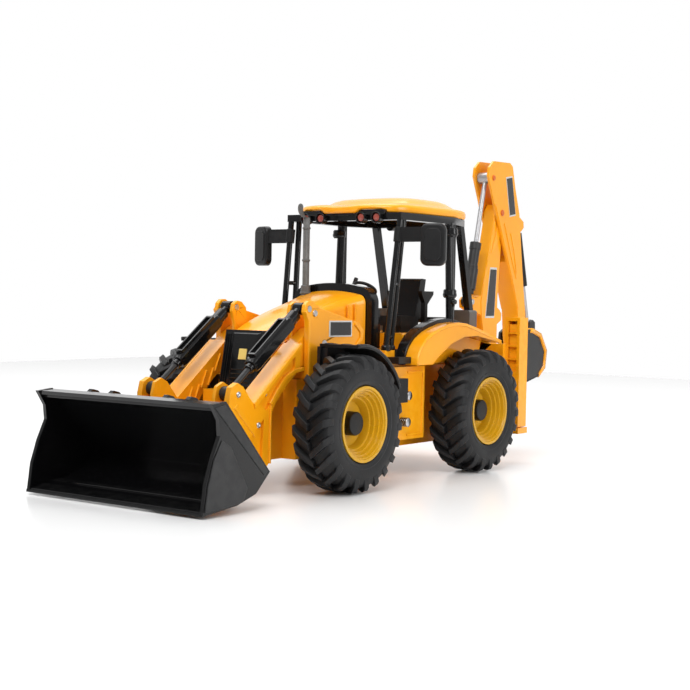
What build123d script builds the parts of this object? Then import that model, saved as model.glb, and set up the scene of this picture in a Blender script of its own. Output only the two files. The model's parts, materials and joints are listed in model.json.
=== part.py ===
from build123d import *
import os
from math import cos, hypot, radians, sin

# Toy backhoe loader, about 1:20. Millimetres. Front of the vehicle is -Y,
# its left side is +X, the ground is Z = 0 and the origin is under the middle.
# Side outlines are (distance behind the front axle, height) pairs.

# ---- driving dimensions ----
front_axle_y = -87.6
wheelbase = 123.0
tyre_radius = 35.0
tyre_width = 22.6
wheel_x = 52.7
bead_radius = 17.6
rim_flange_radius = 19.2
stub_radius = 2.5
running_fit = 0.05
kingpin_x = 33.0
kingpin_radius = 1.8
steer_arm = 12.0

tub_half_width = 26.0
tub_bottom = 15.0
tub_top = 56.0
wall = 2.0

lift_pivot = (8.0, 74.0)
lift_ram_base = (-5.0, 92.0)
lift_ram_tip = (-60.0, 51.0)
bucket_pivot = (-60.0, 20.0)
arm_inner_x = 19.5
arm_outer_x = 30.5
lift_ram_x = 24.3

swing_y = 192.0
boom_pivot = (222.0, 56.0)
boom_ram_base = (238.0, 28.0)
boom_ram_tip = (233.0, 88.0)
dipper_pivot = (230.7, 155.5)
dipper_ram_base = (199.0, 97.0)
dipper_ram_tip = (218.7, 177.5)
scoop_pivot = (262.0, 72.0)
scoop_ram_base = (261.0, 149.0)
scoop_ram_tip = (279.0, 82.0)

pin_radius = 2.0
ram_pin_radius = 1.6
open_pin_radius = 1.2
open_eye_radius = 2.3
rod_radius = 1.5

os.makedirs("parts", exist_ok=True)


# ---- construction helpers ----
def side(x):
    """Plane of constant X; local x runs back from the front axle, local y is height."""
    return Plane(origin=(x, front_axle_y, 0), x_dir=(0, 1, 0), z_dir=(1, 0, 0))


def cross(y):
    """Plane across the vehicle at y behind the front axle, facing forwards."""
    return Plane(origin=(0, front_axle_y + y, 0), x_dir=(1, 0, 0), z_dir=(0, -1, 0))


def level(z):
    """Horizontal plane with its origin above the front axle."""
    return Plane(origin=(0, front_axle_y, z), x_dir=(1, 0, 0), z_dir=(0, 0, 1))


def block(x, y, z, mode=Mode.ADD):
    """Box between pairs of limits."""
    middle = ((x[0] + x[1]) / 2, front_axle_y + (y[0] + y[1]) / 2, (z[0] + z[1]) / 2)
    with Locations(middle):
        Box(x[1] - x[0], y[1] - y[0], z[1] - z[0], mode=mode)


def plate(x, outline, mode=Mode.ADD):
    """Plate between two X limits, cut to a closed side outline."""
    with BuildSketch(side(x[0])) as face:
        with BuildLine():
            Polyline(*outline, close=True)
        make_face()
    extrude(face.sketch, amount=x[1] - x[0], mode=mode)


def shaft(x, centre, radius, mode=Mode.ADD):
    """Cylinder along X between two limits, centred on a side point."""
    with BuildSketch(side(x[0])) as face:
        with Locations(centre):
            Circle(radius)
    extrude(face.sketch, amount=x[1] - x[0], mode=mode)


def post(z, centre, radius, mode=Mode.ADD):
    """Upright cylinder between two heights, centred on (x, y)."""
    with BuildSketch(level(z[0])) as face:
        with Locations(centre):
            Circle(radius)
    extrude(face.sketch, amount=z[1] - z[0], mode=mode)


def bar(start, end, radius, mode=Mode.ADD):
    """Round bar between two points (x, y behind the front axle, z)."""
    a = Vector(start[0], front_axle_y + start[1], start[2])
    b = Vector(end[0], front_axle_y + end[1], end[2])
    with BuildSketch(Plane(origin=a, z_dir=b - a)) as face:
        Circle(radius)
    extrude(face.sketch, amount=(b - a).length, mode=mode)


def both(x):
    """The same X limits on the left and on the right side."""
    return (x, (-x[1], -x[0]))


def mirrored(piece):
    """The right-hand copy of a left-hand piece."""
    with BuildPart() as copy:
        add(piece.part.mirror(Plane.YZ))
    return copy


# ---- wheels ----
def wheel_ring(x, y, outline):
    """Turned ring about a wheel axis from (offset from wheel centre, radius) corners."""
    outward = 1 if x > 0 else -1
    frame = Plane(origin=(x, front_axle_y + y, tyre_radius), x_dir=(1, 0, 0), z_dir=(0, -1, 0))
    with BuildSketch(frame) as face:
        with BuildLine():
            Polyline(*[(outward * u, r) for u, r in outline], close=True)
        make_face()
    revolve(face.sketch, axis=Axis((x, front_axle_y + y, tyre_radius), (1, 0, 0)))


half_tyre = tyre_width / 2
tyre_half = [(9, bead_radius), (9, rim_flange_radius), (half_tyre, 22), (half_tyre, 29.5), (9.8, 33.4),
             (6.5, tyre_radius)]
tyre_outline = tyre_half + [(-u, r) for u, r in reversed(tyre_half)]


def rim_outline(bore):
    """Deep stepped dish with a raised centre cap and a blind bore."""
    return [
        (3.5, 0), (5.0, 0), (5.0, 5.6), (-0.5, 5.6), (-0.5, 11.6), (3.6, 12.8), (3.6, 13.8),
        (5.6, 14.2), (5.6, 15.2), (7.6, 15.6), (7.6, 16.6), (9.4, 16.9), (9.4, 17.5), (10.4, 17.8),
        (10.4, rim_flange_radius), (9.0, rim_flange_radius), (9.0, bead_radius),
        (-9.0, bead_radius), (-9.0, rim_flange_radius), (-10.4, rim_flange_radius),
        (-10.4, 16.4), (-2.5, 16.4), (-2.5, 6.5), (-6.0, 6.5), (-6.0, bore), (3.5, bore),
    ]


with BuildPart() as rear_tyres:
    for wheel_side in (1, -1):
        wheel_ring(wheel_side * wheel_x, wheelbase, tyre_outline)

with BuildPart() as rear_rims:
    for wheel_side in (1, -1):
        wheel_ring(wheel_side * wheel_x, wheelbase, rim_outline(stub_radius))

with BuildPart() as tyre_front_left:
    wheel_ring(wheel_x, 0, tyre_outline)
tyre_front_right = mirrored(tyre_front_left)

with BuildPart() as rim_front_left:
    wheel_ring(wheel_x, 0, rim_outline(stub_radius + running_fit))
rim_front_right = mirrored(rim_front_left)

# ---- rear axle, gears and motor ----
gear_module = 0.8
gear_teeth = 30
pinion_teeth = 10
gear_face = (4.0, 8.0)
motor_y = wheelbase - gear_module * (gear_teeth + pinion_teeth) / 2
shaft_end = wheel_x + 3.5


def gear(x, centre, teeth, phase, bore):
    """Spur gear with straight-sided, slightly thin teeth."""
    pitch = gear_module * teeth / 2
    root = pitch - 1.15 * gear_module
    tip = pitch + 0.85 * gear_module
    with BuildSketch(side(x[0])) as face:
        with Locations(centre):
            Circle(root)
            with PolarLocations(0, teeth, start_angle=phase):
                Polygon((root - 0.3, -0.72), (tip, -0.26), (tip, 0.26), (root - 0.3, 0.72), align=None)
            if bore:
                Circle(bore, mode=Mode.SUBTRACT)
    extrude(face.sketch, amount=x[1] - x[0])


with BuildPart() as rear_axle_shaft:
    shaft((-shaft_end, shaft_end), (wheelbase, tyre_radius), stub_radius)

with BuildPart() as axle_gear:
    gear(gear_face, (wheelbase, tyre_radius), gear_teeth, 0, stub_radius)

with BuildPart() as motor_pinion:
    gear(gear_face, (motor_y, tyre_radius), pinion_teeth, 180 / pinion_teeth, 0)
    shaft((-4.0, 4.0), (motor_y, tyre_radius), 1.0)

with BuildPart() as drive_motor:
    shaft((-22.0, 1.5), (motor_y, tyre_radius), 8.0)
    shaft((1.5, 3.0), (motor_y, tyre_radius), 3.0)
    block((-20.0, -2.0), (motor_y - 5, motor_y + 5), (tub_bottom + wall, 29.0))
    shaft((-5.0, 3.0), (motor_y, tyre_radius), 1.0 + running_fit, mode=Mode.SUBTRACT)

# ---- steering ----
axle_z = tyre_radius
with BuildPart() as front_axle_beam:
    block((-28.2, 28.2), (-5, 5), (29, 41))
    for x in both((24.0, 28.2)):
        block(x, (-4, 4), (24, 46))
    for x in (kingpin_x, -kingpin_x):
        for z in ((24, 28), (42, 46)):
            post(z, (x, 0), 4.0)
            inner = min(abs(x), 26.0) if x > 0 else -26.0
            block((min(x, inner), max(x, inner)), (-4, 4), z)
            post(z, (x, 0), kingpin_radius + running_fit, mode=Mode.SUBTRACT)
    block((-6, 6), (-5, 5), (tub_bottom + wall, 29))

with BuildPart() as steering_knuckle_left:
    post((28.3, 41.7), (kingpin_x, 0), 4.2)
    post((24, 46), (kingpin_x, 0), kingpin_radius)
    shaft((kingpin_x + 3, shaft_end - 0.3), (0, axle_z), stub_radius)
    block((kingpin_x - 1.6, kingpin_x + 1.6), (3, steer_arm), (28.5, 31.5))
    post((28.5, 31.5), (kingpin_x, steer_arm), 3.2)
    post((28, 32), (kingpin_x, steer_arm), open_eye_radius - 0.5, mode=Mode.SUBTRACT)
    block((kingpin_x + 2, 39.6), (-3, 3), (37.6, 41))
    block((37.6, 39.6), (-3, 3), (37.6, 72.5))
steering_knuckle_right = mirrored(steering_knuckle_left)

with BuildPart() as track_rod:
    bar((-kingpin_x, steer_arm, 26.5), (kingpin_x, steer_arm, 26.5), 1.5)
    for x in (-kingpin_x, kingpin_x):
        post((25.0, 28.2), (x, steer_arm), 2.6)
        post((28.2, 32.5), (x, steer_arm), 1.25)
    block((-3, 3), (steer_arm, steer_arm + 5), (25.6, 27.4))

with BuildPart() as steering_servo:
    block((-9, 9), (21, 38), (tub_bottom + wall, 36))
    post((36, 38.5), (0, 26), 3.0)

guard_inner = 38.0
guard_outer = 39.6
liner_inner = 29.0


def guard_sector(x, inner_radius, outer_radius):
    """Part of a ring over the back half of the front wheel, between two X limits."""
    with BuildSketch(side(x[0])) as sector:
        with Locations((0, axle_z)):
            Circle(outer_radius)
            Circle(inner_radius, mode=Mode.SUBTRACT)
        with BuildLine():
            Polyline((-3, axle_z), (-3, 90), (60, 90), (60, 51), (33, 51), close=True)
        make_face(mode=Mode.INTERSECT)
    extrude(sector.sketch, amount=x[1] - x[0])


with BuildPart() as mudguard_front_left:
    guard_sector((38.5, 60.0), guard_inner, guard_outer)
    guard_sector((39.7, 40.8), liner_inner, guard_inner + 0.5)
    block((35.8, 37.6), (-5, 5), (62, 73.2))
    block((35.8, 41), (-3, 5), (73.1, 74.6))
mudguard_front_right = mirrored(mudguard_front_left)

# ---- chassis tub and what it holds ----
nose_half_width = 17.0
nose_y = (-34.0, -9.0)
nose_top = 50.0
tub_rear = 166.0
skirt_y = (44.0, 86.0)
skirt_z = (21.0, 61.0)
skirt_outer = 42.0
with BuildPart() as chassis_tub:
    block((-nose_half_width, nose_half_width), nose_y, (tub_bottom, nose_top))
    block((-tub_half_width, tub_half_width), (nose_y[1], tub_rear), (tub_bottom, tub_top))
    for x in both((tub_half_width, skirt_outer)):
        block(x, skirt_y, skirt_z)
    chassis_edges = chassis_tub.edges().filter_by(Axis.Z).group_by(Axis.Y)[0]
    fillet(chassis_edges, radius=3)
    inner = tub_half_width - wall
    block((-inner, inner), (nose_y[1] + wall, tub_rear - wall), (tub_bottom + wall, tub_top), Mode.SUBTRACT)
    nose_inner = nose_half_width - wall
    block((-nose_inner, nose_inner), (nose_y[0] + wall, nose_y[1] + wall), (tub_bottom + wall, nose_top - wall),
          Mode.SUBTRACT)
    for x in both((tub_half_width, skirt_outer - wall)):
        block(x, (skirt_y[0] + wall, skirt_y[1] - wall), (skirt_z[0] + wall, skirt_z[1]), Mode.SUBTRACT)
    # opening for the front axle, track rod and their movement
    block((-30, 30), (-7, 19), (22, 48), Mode.SUBTRACT)
    # rear axle bearings
    for x in both((inner - 2, tub_half_width)):
        shaft(x, (wheelbase, axle_z), 5.0)
    shaft((-30, 30), (wheelbase, axle_z), stub_radius + running_fit, mode=Mode.SUBTRACT)
    # battery hatch and switch slot
    block((-15, 15), (58, 92), (tub_bottom, tub_bottom + wall), Mode.SUBTRACT)
    block((-17, 17), (56, 94), (tub_bottom, tub_bottom + 1), Mode.SUBTRACT)
    block((-3, 3), (137, 148), (tub_bottom, tub_bottom + wall), Mode.SUBTRACT)

with BuildPart() as battery_cover:
    block((-16.9, 16.9), (56.1, 93.9), (tub_bottom, tub_bottom + 1))
    block((-14.9, 14.9), (58.1, 91.9), (tub_bottom + 1, tub_bottom + wall))

with BuildPart() as battery_pack:
    for x in (-9.0, 0.0, 9.0):
        bar((x, 60, 21.8), (x, 90, 21.8), 4.7)
    block((-13, 13), (62, 88), (17.0, 19.5))

with BuildPart() as circuit_board:
    block((-20, 20), (48, 95), (40, 41.6))
    block((-12, -2), (60, 72), (41.6, 44))
    block((6, 14), (76, 86), (41.6, 46))
    for x in (-18.0, 18.0):
        for y in (50.0, 93.0):
            post((tub_bottom + wall, 40), (x, y), 2.0)

with BuildPart() as power_switch:
    block((-2.5, 2.5), (139, 143), (tub_bottom - 1.5, tub_bottom + wall + 0.1))
    block((-5, 5), (137.5, 144.5), (tub_bottom + wall + 0.1, tub_bottom + wall + 2))

# ---- hood, grille, cowl ----
hood_sections = ((-16.0, 15.3, 80.4), (3.0, 16.2, 88.5), (25.0, 17.3, 95.0), (54.0, 23.5, 102.0))
hood_shoulder = 5.0
crown_rise = 1.8


def crowned_face(y, half_width, top, base, shoulder):
    """Section across the vehicle: upright sides, round shoulders and a gently crowned top."""
    with BuildSketch(cross(y)) as face:
        with BuildLine():
            flat = half_width - shoulder
            flat_z = top - crown_rise
            side_z = flat_z - shoulder
            middle = shoulder * cos(radians(45))
            Polyline((-half_width, side_z), (-half_width, base), (half_width, base), (half_width, side_z))
            ThreePointArc((half_width, side_z), (flat + middle, side_z + middle), (flat, flat_z))
            ThreePointArc((flat, flat_z), (0, top), (-flat, flat_z))
            ThreePointArc((-flat, flat_z), (-flat - middle, side_z + middle), (-half_width, side_z))
        make_face()
    return face.sketch


outer_faces = [crowned_face(y, w, top, tub_top, hood_shoulder) for y, w, top in hood_sections]
inner_faces = [crowned_face(y, w - wall, top - wall, tub_top, hood_shoulder - wall) for y, w, top in hood_sections]
with BuildPart() as hood:
    loft(outer_faces)
    loft(inner_faces, mode=Mode.SUBTRACT)

grille_outline = [(-17.6, 80.5), (-23.0, nose_top), (-16.1, nose_top), (-16.1, 80.5)]
with BuildPart() as grille:
    plate((-14.5, 14.5), grille_outline)
    fillet(grille.edges().filter_by(Axis.X).group_by(Axis.Y)[0], radius=1.0)

cowl_y = (54.5, 61.0)
cowl_half_width = 27.2
cowl_top = 106.2
cowl_shoulder = 9.0
floor_z = 70.0
with BuildPart() as cowl:
    extrude(crowned_face(cowl_y[1], cowl_half_width, cowl_top, tub_top, cowl_shoulder),
            amount=cowl_y[1] - cowl_y[0])
    block((-18, 18), (cowl_y[1], 76), (floor_z, 92))
    bar((0, 75, 88), (0, 83.0, 99.0), 1.8)

steer_centre = (0, 84.6, 101.8)
steer_tilt = 30.0
steer_radius = 6.6
wheel_plane = Plane(origin=(0, front_axle_y + steer_centre[1], steer_centre[2]), x_dir=(1, 0, 0),
                    z_dir=(0, sin(radians(steer_tilt)), cos(radians(steer_tilt))))
with BuildPart(wheel_plane) as steering_wheel:
    with Locations((0, 0, 2.0)):
        Torus(steer_radius, 0.9)
    with Locations((0, 0, -0.6)):
        Cylinder(2.4, 3.4)
    with PolarLocations(0, 3, start_angle=90):
        with Locations((0, 0, 1.0)):
            Box(steer_radius, 1.6, 1.4, align=(Align.MIN, Align.CENTER, Align.CENTER))
    with Locations((-steer_radius * cos(radians(30)), -steer_radius * sin(radians(30)), 4.6)):
        Cylinder(1.2, 4.4)

# ---- cab ----
deck_z = 78.0
floor_half_width = 38.0
with BuildPart() as cab_floor:
    block((-floor_half_width, floor_half_width), (cowl_y[1], 98), (skirt_z[1], floor_z))
    for x in both((cowl_half_width + 0.2, floor_half_width)):
        block(x, (52, cowl_y[1]), (skirt_z[1], floor_z))
    block((-floor_half_width, floor_half_width), (98, 146), (skirt_z[1], deck_z))
    block((-tub_half_width, tub_half_width), (cowl_y[1], 162), (tub_top, skirt_z[1]))
    block((-tub_half_width, tub_half_width), (146, 162), (skirt_z[1], deck_z))
    block((-24, 24), (64, 160), (tub_top, skirt_z[1] + 5), Mode.SUBTRACT)
    for x in both((24.0, 36.0)):
        block(x, (72, 96), (floor_z, 79))
    fillet(cab_floor.faces().filter_by(Axis.Z).sort_by(Axis.Z)[-3:].edges().filter_by(Axis.Y), radius=1.2)

roof_z = (145.2, 150.5)
crown_top = 156.0
ring_z = (141.2, 145.2)
ring_outline = [(39.5, 63), (40.5, 118), (32, 141.5)]
pillar_top = ring_z[0] + 1
# foot and top of the two tubes of each front pillar, as (x, y)
front_tube = ((36.3, 55.4), (37.9, 64.6))
rear_tube = ((34.0, 63.2), (36.4, 70.0))


def symmetric(points):
    """Closed (x, y) outline from its left-hand corners, listed front to back."""
    return points + [(-x, y) for x, y in reversed(points)]


def slab(z, outline, mode=Mode.ADD):
    """Level slab cut to an (x, y) outline."""
    with BuildSketch(level(z[0])) as face:
        with BuildLine():
            Polyline(*outline, close=True)
        make_face()
    extrude(face.sketch, amount=z[1] - z[0], mode=mode)


def on_tube(tube, s, z):
    """Point on the middle line of a front pillar tube at height z, on side s."""
    rise = (z - floor_z) / (pillar_top - floor_z)
    x, y = (foot + rise * (top - foot) for foot, top in zip(*tube))
    return (s * x, y, z)


with BuildPart() as cab_frame:
    slab(ring_z, symmetric(ring_outline))
    slab(ring_z, symmetric([(34.5, 68), (35.5, 116), (28, 136.5)]), Mode.SUBTRACT)
    for s in (1, -1):
        for tube in (front_tube, rear_tube):
            bar(on_tube(tube, s, floor_z), on_tube(tube, s, pillar_top), 1.7)
        for z in (77, 106):
            bar(on_tube(front_tube, s, z), on_tube(rear_tube, s, z), 1.2)
        bar((s * 40.2, 114, 85.4), (s * 38.3, 114, pillar_top), 2.3)
        block((min(s * 38.2, s * 39.8), max(s * 38.2, s * 39.8)), (114, 119.6), (86.5, pillar_top))
        for z in (99, 134):
            post((z, z + 5), (s * 39.9, 114), 3.4)
        plate((min(s * 28, s * 32), max(s * 28, s * 32)),
              [(149.5, 92), (153.5, 92), (141, pillar_top), (137, pillar_top)])

roof_outline = [(27, 60.5), (38, 79), (38.5, 128), (31.5, 142)]
with BuildPart() as roof:
    slab(roof_z, symmetric(roof_outline))
    fillet(roof.edges().filter_by(Axis.Z), radius=4.5)
    fillet(roof.faces().sort_by(Axis.Z)[-1].edges(), radius=3.2)
    with BuildSketch(level(roof_z[1] - 0.5)) as crown_foot:
        with Locations((0, 110)):
            RectangleRounded(62, 56, 9)
    with BuildSketch(level(crown_top)) as crown_face:
        with Locations((0, 112)):
            RectangleRounded(46, 36, 7)
    loft([crown_foot.sketch, crown_face.sketch])
    slab((143.6, roof_z[0]), symmetric([(8, 60.6), (8, 62.8)]))

with BuildPart() as roof_lamps:
    for x in (-24.5, -14.0, 14.0, 24.5):
        with BuildSketch(cross(63.0)) as lamp:
            with Locations((x, 142.5)):
                Circle(2.6)
        extrude(lamp.sketch, amount=2.6)
    for x in (-22.0, 22.0):
        with BuildSketch(cross(144.2)) as lamp:
            with Locations((x, 142.6)):
                Circle(2.4)
        extrude(lamp.sketch, amount=2.7)

with BuildPart() as seat:
    block((-6.5, 6.5), (114, 132), (deck_z, deck_z + 4))
    block((-7.5, 7.5), (112, 131), (deck_z + 4, deck_z + 10))
    plate((-7.5, 7.5), [(127, deck_z + 9), (134, deck_z + 9), (138.5, 110), (133, 110.5)])
    block((-12.5, 12.5), (129.5, 133.5), (deck_z, deck_z + 3))
    for x in both((9.7, 12.5)):
        plate(x, [(130.2, deck_z), (133.2, deck_z), (133.2, 95), (139.4, 100.8), (139.6, 102.8), (126.5, 102.8),
                  (127, 100.8), (130.2, 96)])
    fillet(seat.edges().filter_by(Axis.X).group_by(Axis.Z)[-1], radius=2)

# ---- rear fenders, locker, exhaust, mirrors, steps ----
fender_outer = [(66, 62), (66, 66), (69, 71.6), (74, 76.2), (81, 79.8), (88.8, 82.4), (98, 84.4), (107.8, 85.3),
                (117, 84.6), (126.4, 82.6), (141.8, 78.8), (158, 74.2)]
fender_inner = [(156, 72.8), (144, 75.0), (129.6, 77.2), (115, 76.8), (101, 73), (88, 66), (82, 62)]
with BuildPart() as fender_left:
    plate((floor_half_width, 50), fender_outer + fender_inner)
    plate((floor_half_width, 40), [(88, 66), (82, 62), (86, 62), (146, 62), (150, 74), (129, 77), (101, 73)])
with BuildPart() as rear_fenders:
    add(fender_left.part)
    add(fender_left.part.mirror(Plane.YZ))

with BuildPart() as rear_locker:
    for x in both((22.5, 34.0)):
        block(x, (146.2, 154.5), (deck_z, 92))
    fillet(rear_locker.edges().filter_by(Axis.Y).group_by(Axis.Z)[-1], radius=1.5)
    block((-24, 24), (149.4, 153.2), (84.0, 87.0))

with BuildPart() as exhaust_pipe:
    with BuildLine(side(-16)) as pipe_path:
        Line((50.9, 99.0), (50.9, 142.5))
        TangentArc((50.9, 142.5), (45.2, 148.2), tangent=(0, 1))
    with BuildSketch(level(99.0)) as pipe_face:
        with Locations((-16, 50.9)):
            Circle(1.9)
    sweep(pipe_face.sketch, path=pipe_path.line)
    post((99.0, 104), (-16, 50.9), 2.6)
    add(hood.part, mode=Mode.SUBTRACT)

mirror_sweep = 19.0
with BuildPart() as mirror_head:
    Box(14.0, 3.8, 23.0)
    fillet(mirror_head.edges().filter_by(Axis.Y), radius=4)
    fillet(mirror_head.faces().sort_by(Axis.Y)[0].edges(), radius=1.5)
with BuildPart() as mirror_left:
    add(mirror_head.part.moved(Location((59.4, front_axle_y + 65.0, 127.5), (0, 0, mirror_sweep))))
    block((39.4, 54), (62.2, 64.6), (129, 137))
with BuildPart() as mirrors:
    add(mirror_left.part)
    add(mirror_left.part.mirror(Plane.YZ))

with BuildPart() as side_steps:
    for x in both((skirt_outer, 47.0)):
        block(x, (50, 62), (42, 55))
    for x in both((floor_half_width, 46.0)):
        block(x, (54, 65.8), (63, 66.5))
    for x in both((skirt_outer, 46.5)):
        shaft(x, (64.6, 45.4), 2.4)
        shaft(x, (63.6, 31.0), 2.4)

# ---- loader towers and arms ----
tower_inner = (18.2, 20.4)
tower_outer = (28.2, 30.6)
outer_panel = [(-6, tub_top), (-6.5, 86), (-9.2, 90.5), (-8.6, 94), (-6, 96.2), (-2.5, 96.2), (4, 92.5),
               (38, 85), (42.5, 81), (41.5, 75), (34, 71.5), (24, 68), (14, tub_top)]
inner_panel = [(-6, tub_top), (-6.5, 84), (-8.6, 90), (-7.6, 94), (-4.6, 95.6), (-1, 95), (2.5, 92), (3.6, 85),
               (14, 80), (18, 76), (22, 70), (22, tub_top)]
with BuildPart() as tower_left:
    plate(tower_outer, outer_panel)
    plate(tower_inner, inner_panel)
    block((tower_inner[1], tower_outer[0]), (-4, 14), (tub_top, 60))
    plate((tower_inner[1], tower_outer[0]), [(18.5, tub_top), (22, tub_top), (24, 68), (24, 80), (18.5, 80)])
    shaft((tower_inner[0], tower_outer[1]), lift_pivot, pin_radius, mode=Mode.SUBTRACT)
    shaft((tower_inner[0], tower_outer[1]), lift_ram_base, ram_pin_radius, mode=Mode.SUBTRACT)
with BuildPart() as loader_towers:
    add(tower_left.part)
    add(tower_left.part.mirror(Plane.YZ))

arm_wide = [(-66, 49), (-64.5, 54.5), (-60, 56.5), (-56, 54.5), (-48.4, 46), (-12, 74.6), (-12, 61.5),
            (-22, 54.5), (-30.8, 46), (-35.6, 39), (-36, 15.6), (-39, 13), (-58, 13), (-64, 15.5), (-66, 20)]
arm_blade = [(-20, 56), (-20, 68), (-12, 74.3), (0, 82), (8, 83), (14, 79.5), (15.5, 74), (13, 68), (6, 65),
             (-12, 61.7)]
clevis_slot = [(-70, 43), (-70, 60), (-52, 60), (-52, 49), (-56.5, 43)]
with BuildPart() as loader_arm_left:
    plate((arm_inner_x, arm_outer_x), arm_wide)
    fillet(loader_arm_left.edges().filter_by(Axis.X).group_by(Axis.Z)[0], radius=2)
    plate((20.8, 27.8), arm_blade)
    # open slot for the ram eye, and lightening pockets in the outer face
    plate((21.4, 27.4), clevis_slot, Mode.SUBTRACT)
    plate((arm_outer_x - 1.5, arm_outer_x), [(-44, 46), (-16, 68), (-16, 62.5), (-24, 57), (-33, 47.5), (-38, 42)],
          Mode.SUBTRACT)
    plate((arm_outer_x - 1.5, arm_outer_x), [(-41, 19), (-40, 38), (-56, 24), (-56, 19)], Mode.SUBTRACT)
    shaft((arm_inner_x, arm_outer_x), lift_ram_tip, open_pin_radius)
    shaft((20, 29), lift_pivot, pin_radius + running_fit, mode=Mode.SUBTRACT)
    shaft((arm_inner_x, arm_outer_x), bucket_pivot, pin_radius + running_fit, mode=Mode.SUBTRACT)
loader_arm_right = mirrored(loader_arm_left)

with BuildPart() as arm_cross_tube:
    shaft((-arm_inner_x, arm_inner_x), (-46, 30), 4.0)

# ---- loader bucket ----
bucket_half_width = 57.5
cheek = 2.0
shell_outer = [(-113.6, 1.2), (-90.5, 4.0), (-77.5, 8.0), (-68, 17), (-99, 50.8), (-107, 50.2)]
shell_inner = [(-106.6, 48.4), (-99.8, 48.4), (-71, 17.2), (-78.6, 10.2), (-91, 6.2), (-113.4, 2.6)]
cheek_outline = [(-113.3, 1.4), (-111.4, 15), (-107.5, 26.3), (-102.8, 36), (-103.6, 43), (-108.4, 50.2),
                 (-99, 51.2), (-67.6, 17.1), (-77.3, 7.8), (-90.5, 3.8)]
ear_outline = [(-98.5, 49.5), (-95.5, 51.8), (-92, 51), (-62, 25.6), (-55.2, 22), (-55.2, 18), (-60, 14.4),
               (-68, 15.5), (-70, 18)]
with BuildPart() as loader_bucket:
    plate((-bucket_half_width, bucket_half_width), shell_outer + shell_inner)
    for x in both((bucket_half_width - cheek, bucket_half_width)):
        plate(x, cheek_outline)
    for s in (1, -1):
        for x in ((16.4, 19.0), (31.0, 33.6)):
            plate((min(s * x[0], s * x[1]), max(s * x[0], s * x[1])), ear_outline)
        shaft((min(s * 16.4, s * 33.6), max(s * 16.4, s * 33.6)), bucket_pivot, pin_radius)


# ---- telescopic rams ----
def ram(base, tip, x_centre, barrel_length, base_hole, barrel_radius=3.3, eye_width=5.2, rod_insert=16.0):
    """Barrel with its base eye, and rod with its open tip eye, along base to tip."""
    length = hypot(tip[0] - base[0], tip[1] - base[1])
    along = ((tip[0] - base[0]) / length, (tip[1] - base[1]) / length)
    rod_start = barrel_length - rod_insert

    def point(distance):
        return (x_centre, base[0] + along[0] * distance, base[1] + along[1] * distance)

    eye = (x_centre - eye_width / 2, x_centre + eye_width / 2)
    with BuildPart() as barrel:
        shaft(eye, base, 3.2)
        bar(point(2.0), point(6.5), 2.2)
        bar(point(5.5), point(barrel_length), barrel_radius)
        bar(point(8.0), point(barrel_length), rod_radius + running_fit, mode=Mode.SUBTRACT)
        shaft(eye, base, base_hole, mode=Mode.SUBTRACT)
    with BuildPart() as rod:
        bar(point(rod_start), point(length - 2.6), rod_radius)
        shaft(eye, tip, 3.5)
        shaft(eye, tip, open_eye_radius, mode=Mode.SUBTRACT)
    return barrel, rod


ram_hole = ram_pin_radius + running_fit
lift_ram_barrel_left, lift_ram_rod_left = ram(lift_ram_base, lift_ram_tip, lift_ram_x, 47, ram_hole)
lift_ram_barrel_right = mirrored(lift_ram_barrel_left)
lift_ram_rod_right = mirrored(lift_ram_rod_left)
boom_ram_barrel, boom_ram_rod = ram(boom_ram_base, boom_ram_tip, 0, 40, ram_hole, barrel_radius=3.0)
dipper_ram_barrel, dipper_ram_rod = ram(dipper_ram_base, dipper_ram_tip, 0, 38, ram_hole, rod_insert=15.0)
scoop_ram_barrel, scoop_ram_rod = ram(scoop_ram_base, scoop_ram_tip, 0, 42, ram_hole, barrel_radius=3.0,
                                      rod_insert=26.0)

# ---- rear frame, stabilizers and kingpost ----
housing_x = (45.0, 55.0)
housing_y = (170.0, 180.0)
housing_z = (22.0, 88.0)
bore_x = (46.7, 53.3)
bore_y = (171.7, 178.3)
lug_radius = 8.0
window_z = 55.5
window_pitch = 7.8
with BuildPart() as rear_frame:
    block((-46, 46), (tub_rear, 172), (24, 72))
    for x in both(housing_x):
        block(x, housing_y, housing_z)
    for z in ((34, 39), (63, 68)):
        post(z, (0, swing_y), lug_radius)
        block((-lug_radius, lug_radius), (171, swing_y), z)
    post((33, 69), (0, swing_y), pin_radius, mode=Mode.SUBTRACT)
    for x in both(bore_x):
        block(x, bore_y, (housing_z[0], housing_z[1] - 2), Mode.SUBTRACT)
    # four ladder windows in the front of each housing
    for x in both((47.0, 53.0)):
        for step in range(4):
            z = window_z + step * window_pitch
            block(x, (housing_y[0], bore_y[0]), (z, z + window_pitch - 0.8), Mode.SUBTRACT)
    for x in both((16.0, 40.0)):
        block(x, (tub_rear, 172), (32, 64), Mode.SUBTRACT)

with BuildPart() as stabilizer_leg_left:
    block((47, 53), (172, 178), (21.5, 84))
    block((44, 56), (168.5, 181.5), (18.0, 21.5))
    fillet(stabilizer_leg_left.edges().filter_by(Axis.Z).group_by(Axis.Y)[-1], radius=2)
stabilizer_leg_right = mirrored(stabilizer_leg_left)

cheek_gap = 5.3
king_outline = [(190, 41), (222, 40), (233, 27), (236, 24.2), (240, 24.2), (242, 28), (240, 34), (230, 58),
                (226, 62.5), (219, 63), (212, 61.5), (190, 61.5)]
with BuildPart() as kingpost:
    post((39.4, 62.6), (0, swing_y), 7.0)
    for x in both((cheek_gap, 8.3)):
        plate(x, king_outline)
    block((-cheek_gap, cheek_gap), (196, 206), (41.5, 61))
    post((39, 63), (0, swing_y), pin_radius + running_fit, mode=Mode.SUBTRACT)
    shaft((-8.3, 8.3), boom_pivot, pin_radius)
    shaft((-8.3, 8.3), boom_ram_base, ram_pin_radius)

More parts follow.
